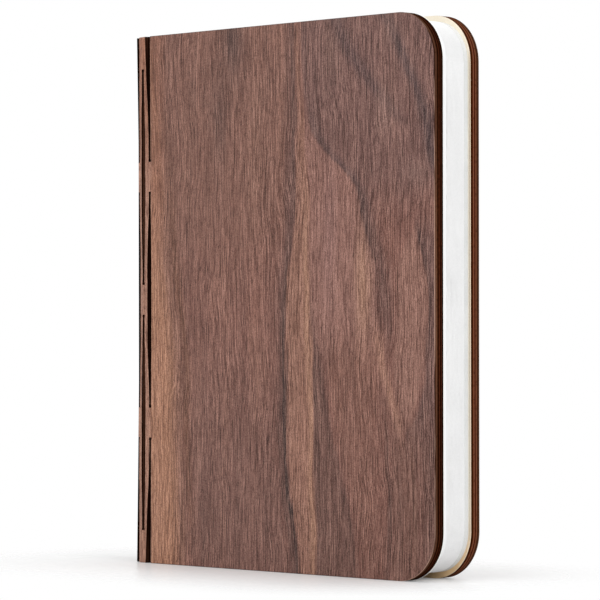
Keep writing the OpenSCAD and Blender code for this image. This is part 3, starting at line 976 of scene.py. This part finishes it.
def leads():
    """The red and the black lead"""
    g = Graph("lead_insulation")
    p = g.place()
    _, y, _ = g.split(p)
    fine = g.noise(p, 4.0, 3)
    red = g.ramp(fine, shades((0.3, 150, 26, 24), (0.7, 182, 40, 34)))
    black = g.ramp(fine, shades((0.3, 18, 18, 20), (0.7, 34, 34, 36)))
    return g.set(
        Base_Color=g.mix(g.step(y, -0.1, 0.1), black, red),
        Roughness=g.add(0.38, g.mul(fine, 0.1)),
        Normal=g.bump(fine, 0.1, 0.03),
    )


BOARD = [walnut(), burnt_edge()]
LINING = lining()
# the card's grey is partly painted shade, and the front card gets a lighter, lit copy of it
CARD = paper("card", srgb(218, 219, 218), srgb(200, 201, 201), 0.8, front=srgb(235, 236, 238))
SHEET = paper("sheet", srgb(246, 246, 246), srgb(236, 236, 236), 0.7, rough=0.62, thin=0.5)
MAGNET = metal("magnet", srgb(205, 205, 205), srgb(180, 180, 182), 0.18)
WHITE = plastic("white_plastic", srgb(232, 232, 228), srgb(218, 218, 214), 0.4, 3.0)
MATERIALS = {
    "front_lining": LINING,
    "back_lining": LINING,
    "front_card": CARD,
    "back_card": CARD,
    "front_magnets": MAGNET,
    "back_magnets": MAGNET,
    "light_channel": WHITE,
    "top_cap": WHITE,
    "bottom_cap": WHITE,
    "bar_tape": plastic("tape", srgb(236, 236, 230), srgb(216, 216, 208), 0.7, 5.0),
    "light_diffuser": plastic(
        "diffuser_plastic", srgb(250, 246, 238), srgb(238, 234, 226), 0.35, 2.0, thin=0.8
    ),
    "led_board": circuit(
        "white_circuit_board", srgb(238, 238, 236), srgb(222, 222, 218), srgb(204, 196, 170)
    ),
    "led_chips": light_chip(),
    "battery_cells": metal(
        "cell_foil", srgb(178, 184, 190), srgb(150, 156, 164), 0.3, (1.2, 0.35, 0.25), 0.3
    ),
    "battery_leads": leads(),
    "charge_board": circuit(
        "green_circuit_board", srgb(30, 92, 56), srgb(44, 118, 74), srgb(206, 198, 176), 1.1
    ),
    "usb_socket": metal("socket_metal", srgb(196, 198, 202), srgb(168, 170, 176), 0.22),
    "magnet_switch": plastic("black_plastic", srgb(34, 34, 35), srgb(22, 22, 23), 0.45, 3.0),
}
for name, material in MATERIALS.items():
    node = frame["nodes"][name]
    node.data.materials.clear()
    node.data.materials.append(material)

# ---------------------------------------------------------------- the board: covers and spine
for side, word in SIDES:
    cover = make_cover(f"{word}_cover_board", side)
    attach(cover, f"{word}_cover")
    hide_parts(f"{word}_cover")
    for i in range(1, 5):
        strip = make_strip(
            f"{word}_strip_{i}",
            strip_place(side, i),
            (i - 1, side, False),
            (i, side, True),
            side,
            SHEET_START + (i - 1) * PITCH,
        )
        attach(strip, f"{word}_stave_{i}")
        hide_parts(f"{word}_stave_{i}")

middle = make_strip(
    "middle_strip",
    lambda a, b, z: (SPINE_X + b, PITCH / 2 - a, z),
    (0, BACK, True),
    (0, FRONT, True),
    FRONT,
    SHEET_START - PITCH,
)
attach(middle, "core")
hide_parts("spine_strip")

# ---------------------------------------------------------------- the sheets
bodies = {n: b for b, ns in frame["record"]["behaviour"]["bodies"].items() for n in ns}
for k in range(1, LEAF_N + 1):
    sheet = make_leaf(f"sheet_{k:02d}", k)
    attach(sheet, bodies[f"leaf_{k:02d}"])
    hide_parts(f"leaf_{k:02d}")

# ---------------------------------------------------------------- floor, light and camera
scene = bpy.context.scene
FLOOR_R, FLOOR_Z = 0.92, -0.00005  # metres
FADE = (4, 95)  # the floor fades out between these distances from the object
FOOT_X, FOOT_HALF = 18, (66.0, BOOK_T / 2)  # the object's footprint, for that distance
FLOOR_GLOW = 0.07
WORLD_LIGHT, WORLD_SEEN = 0.5, 1.0
LAMP_TARGET = Vector((0, 0, 0.1))
ROLL = -0.09  # degrees


def seen_by(tree):
    """1 for a ray from the camera, or from gloss or a clear surface, and 0 for any other"""
    path = tree.nodes.new("ShaderNodeLightPath")
    seen = path.outputs["Is Camera Ray"]
    for ray in ("Is Glossy Ray", "Is Transmission Ray"):
        either = tree.nodes.new("ShaderNodeMath")
        either.operation = "MAXIMUM"
        tree.links.new(seen, either.inputs[0])
        tree.links.new(path.outputs[ray], either.inputs[1])
        seen = either.outputs[0]
    return seen


def floor():
    """A round pale floor that fades out, away from the object, into the white studio"""
    g = Graph("floor")
    seen = seen_by(g.tree)
    p = g.place()
    x, y, _ = g.split(p)
    pale = [(0.3, (0.78, 0.78, 0.78, 1)), (0.7, (0.82, 0.82, 0.82, 1))]
    g.set(
        Base_Color=g.ramp(g.noise(p, 0.02, 2), pale),
        Roughness=0.3,
        Specular_IOR_Level=0.08,
        Emission_Color=(1, 1, 1, 1),
        Emission_Strength=g.mul(seen, FLOOR_GLOW),
    )
    beside = [
        g.calc("MAXIMUM", g.sub(g.calc("ABSOLUTE", at), half), 0.0)
        for at, half in zip((g.add(x, FOOT_X), y), FOOT_HALF)
    ]
    away = g.node("ShaderNodeVectorMath", {0: g.join(*beside)}, "Value", operation="LENGTH")
    clear = g.node("ShaderNodeBsdfTransparent")
    fade = {0: g.mul(seen, g.step(away, *FADE)), 1: g.shader.outputs[0], 2: clear}
    surface = g.tree.nodes["Material Output"].inputs["Surface"]
    g.tree.links.new(g.node("ShaderNodeMixShader", fade), surface)
    mesh = bpy.data.meshes.new("floor")
    angles = [math.radians(a) for a in range(0, 360, 5)]
    rim = [(FLOOR_R * math.cos(a), FLOOR_R * math.sin(a), 0) for a in angles]
    mesh.from_pydata(rim, [], [list(range(len(rim)))])
    mesh.materials.append(g.material)
    obj = bpy.data.objects.new("floor", mesh)
    scene.collection.objects.link(obj)
    obj.location.z = FLOOR_Z


def lamp(name, place, size, power):
    """A square lamp that points at the object"""
    data = bpy.data.lights.new(name, "AREA")
    data.shape, data.size, data.size_y, data.energy = "RECTANGLE", size, size, power
    obj = bpy.data.objects.new(name, data)
    scene.collection.objects.link(obj)
    obj.location = place
    obj.rotation_euler = (LAMP_TARGET - Vector(place)).to_track_quat("-Z", "Y").to_euler()


floor()
lamp("key", (-0.5, -1.5, 1.3), 1.4, 13)
lamp("fill", (1.6, -0.2, 0.9), 1.2, 17.5)
lamp("top", (0.1, 0.1, 1.9), 1.6, 9)

world = bpy.data.worlds.new("studio")
scene.world = world
world.use_nodes = True
tree = world.node_tree
strength = tree.nodes.new("ShaderNodeMapRange")
tree.links.new(seen_by(tree), strength.inputs["Value"])
strength.inputs["To Min"].default_value = WORLD_LIGHT
strength.inputs["To Max"].default_value = WORLD_SEEN
background = tree.nodes["Background"]
tree.links.new(strength.outputs[0], background.inputs["Strength"])
background.inputs["Color"].default_value = (1, 1, 1, 1)

camera = bpy.data.objects.new("camera", bpy.data.cameras.new("camera"))
scene.collection.objects.link(camera)
camera.data.lens = 195.24
camera.data.sensor_width = 36.0
camera.data.shift_y = 0.055
camera.data.clip_start, camera.data.clip_end = 0.05, 60.0
camera.location = (0.9109, -0.9084, 0.0938)
level = Vector((-1, 1, 0)).normalized().to_track_quat("-Z", "Y").to_matrix()
camera.rotation_euler = (level @ Matrix.Rotation(math.radians(ROLL), 3, "Z")).to_euler()
scene.camera = camera

scene.view_settings.view_transform = "Standard"
